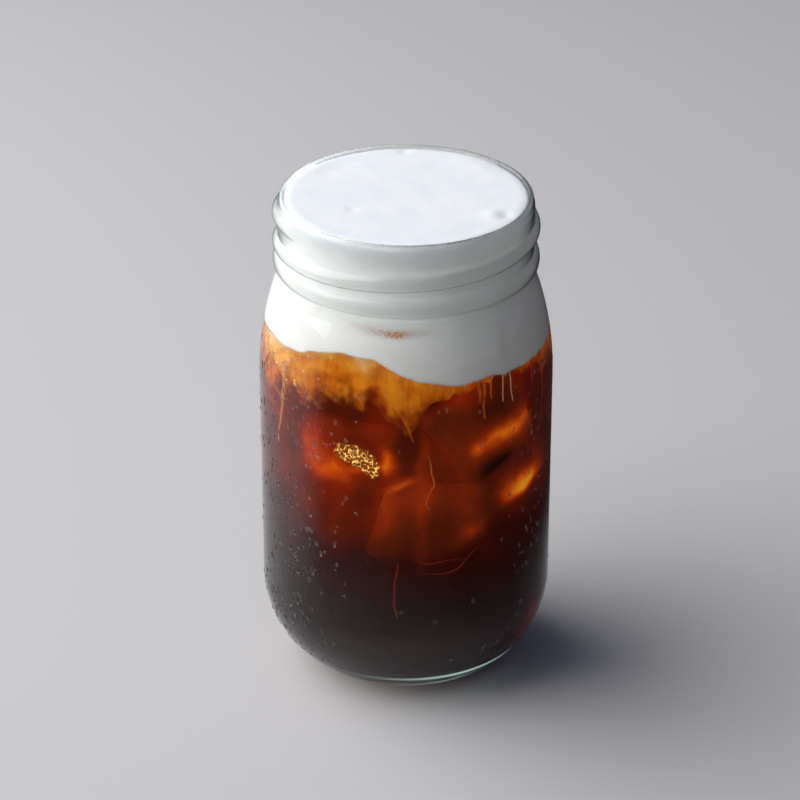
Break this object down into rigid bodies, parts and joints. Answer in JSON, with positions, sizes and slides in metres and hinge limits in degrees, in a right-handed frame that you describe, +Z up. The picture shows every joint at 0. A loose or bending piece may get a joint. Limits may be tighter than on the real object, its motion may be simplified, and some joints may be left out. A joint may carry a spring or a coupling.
{
  "type": "iced coffee in a jar",
  "caption": "Iced black coffee under a deep layer of cream foam, filled to the brim of a clear glass preserving jar with a screw-thread neck.",
  "frame": {"origin": "centre of the ring under the jar's base, on the surface that the jar stands on", "axes": "+Z up along the jar's own axis; the side shown in the picture faces -Y, so +X is to its right"},
  "size_m": [0.079, 0.079, 0.137],
  "materials": {
    "jar_glass": "smooth clear glass, faintly green where it is thick",
    "coffee": "dark red-brown clear liquid",
    "cream": "soft white cream foam"
  },
  "bodies": {
    "root": {"jar": "jar_glass", "coffee": "coffee", "cream": "cream"}
  },
  "joints": []
}
